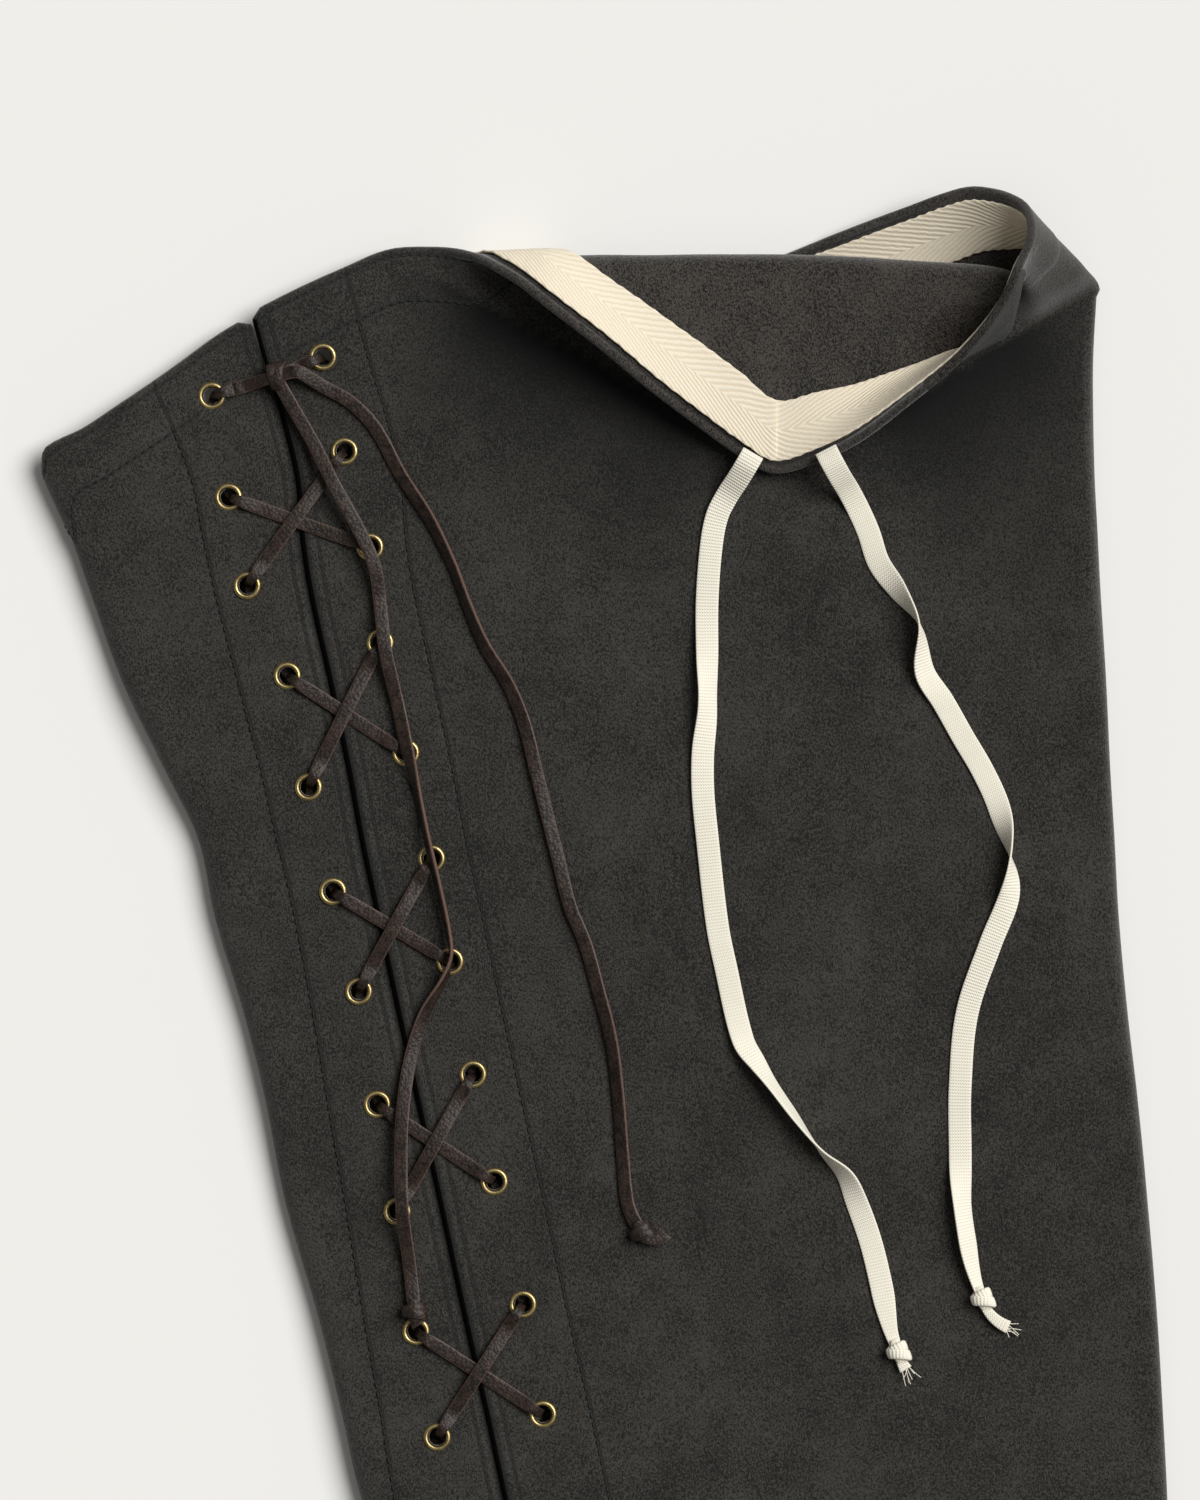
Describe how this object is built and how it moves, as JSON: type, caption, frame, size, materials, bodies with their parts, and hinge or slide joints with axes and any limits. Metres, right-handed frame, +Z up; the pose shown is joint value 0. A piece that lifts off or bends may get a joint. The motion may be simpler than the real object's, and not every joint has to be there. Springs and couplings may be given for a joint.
{
  "type": "wool hose leg",
  "caption": "Wool hose leg, laid flat, footless: leather-laced slit with brass eyelets, turned-down point with waist tape and cotton ties, to tie to a belt or doublet.",
  "frame": {"origin": "on the surface that the leg lies on, under the middle of its outline", "axes": "+Z up from the surface, +Y along the leg from the hem to the waist, +X to the side away from the laced slit"},
  "size_m": [0.4066, 0.9318, 0.0372],
  "materials": {
    "wool": "matt felted nap of a fulled charcoal wool",
    "tape": "cream cotton herringbone twill tape",
    "tie": "off-white plain woven cotton tape",
    "leather": "dark brown leather lace with raw reddish edges",
    "brass": "antique brass, satin"
  },
  "bodies": {
    "root": {"leg_front": "wool", "leg_waist": "wool", "leg_fold_right": "wool", "leg_back": "wool", "leg_fold_left": "wool", "leg_side": "wool", "tape_left": "tape", "tape_right": "tape", "eyelet_left_1": "brass", "eyelet_left_2": "brass", "eyelet_left_3": "brass", "eyelet_left_4": "brass", "eyelet_left_5": "brass", "eyelet_left_6": "brass", "eyelet_left_7": "brass", "eyelet_left_8": "brass", "eyelet_left_9": "brass", "eyelet_left_10": "brass", "eyelet_left_11": "brass", "eyelet_right_1": "brass", "eyelet_right_2": "brass", "eyelet_right_3": "brass", "eyelet_right_4": "brass", "eyelet_right_5": "brass", "eyelet_right_6": "brass", "eyelet_right_7": "brass", "eyelet_right_8": "brass", "eyelet_right_9": "brass", "eyelet_right_10": "brass", "eyelet_right_11": "brass", "lace_a": "leather", "lace_b": "leather", "lace_knot": "leather", "lace_end_left": "leather", "lace_end_left_knot": "leather", "lace_end_right": "leather", "lace_end_right_knot": "leather", "tie_left": "tie", "tie_left_knot": "tie", "tie_right": "tie", "tie_right_knot": "tie"}
  },
  "joints": []
}
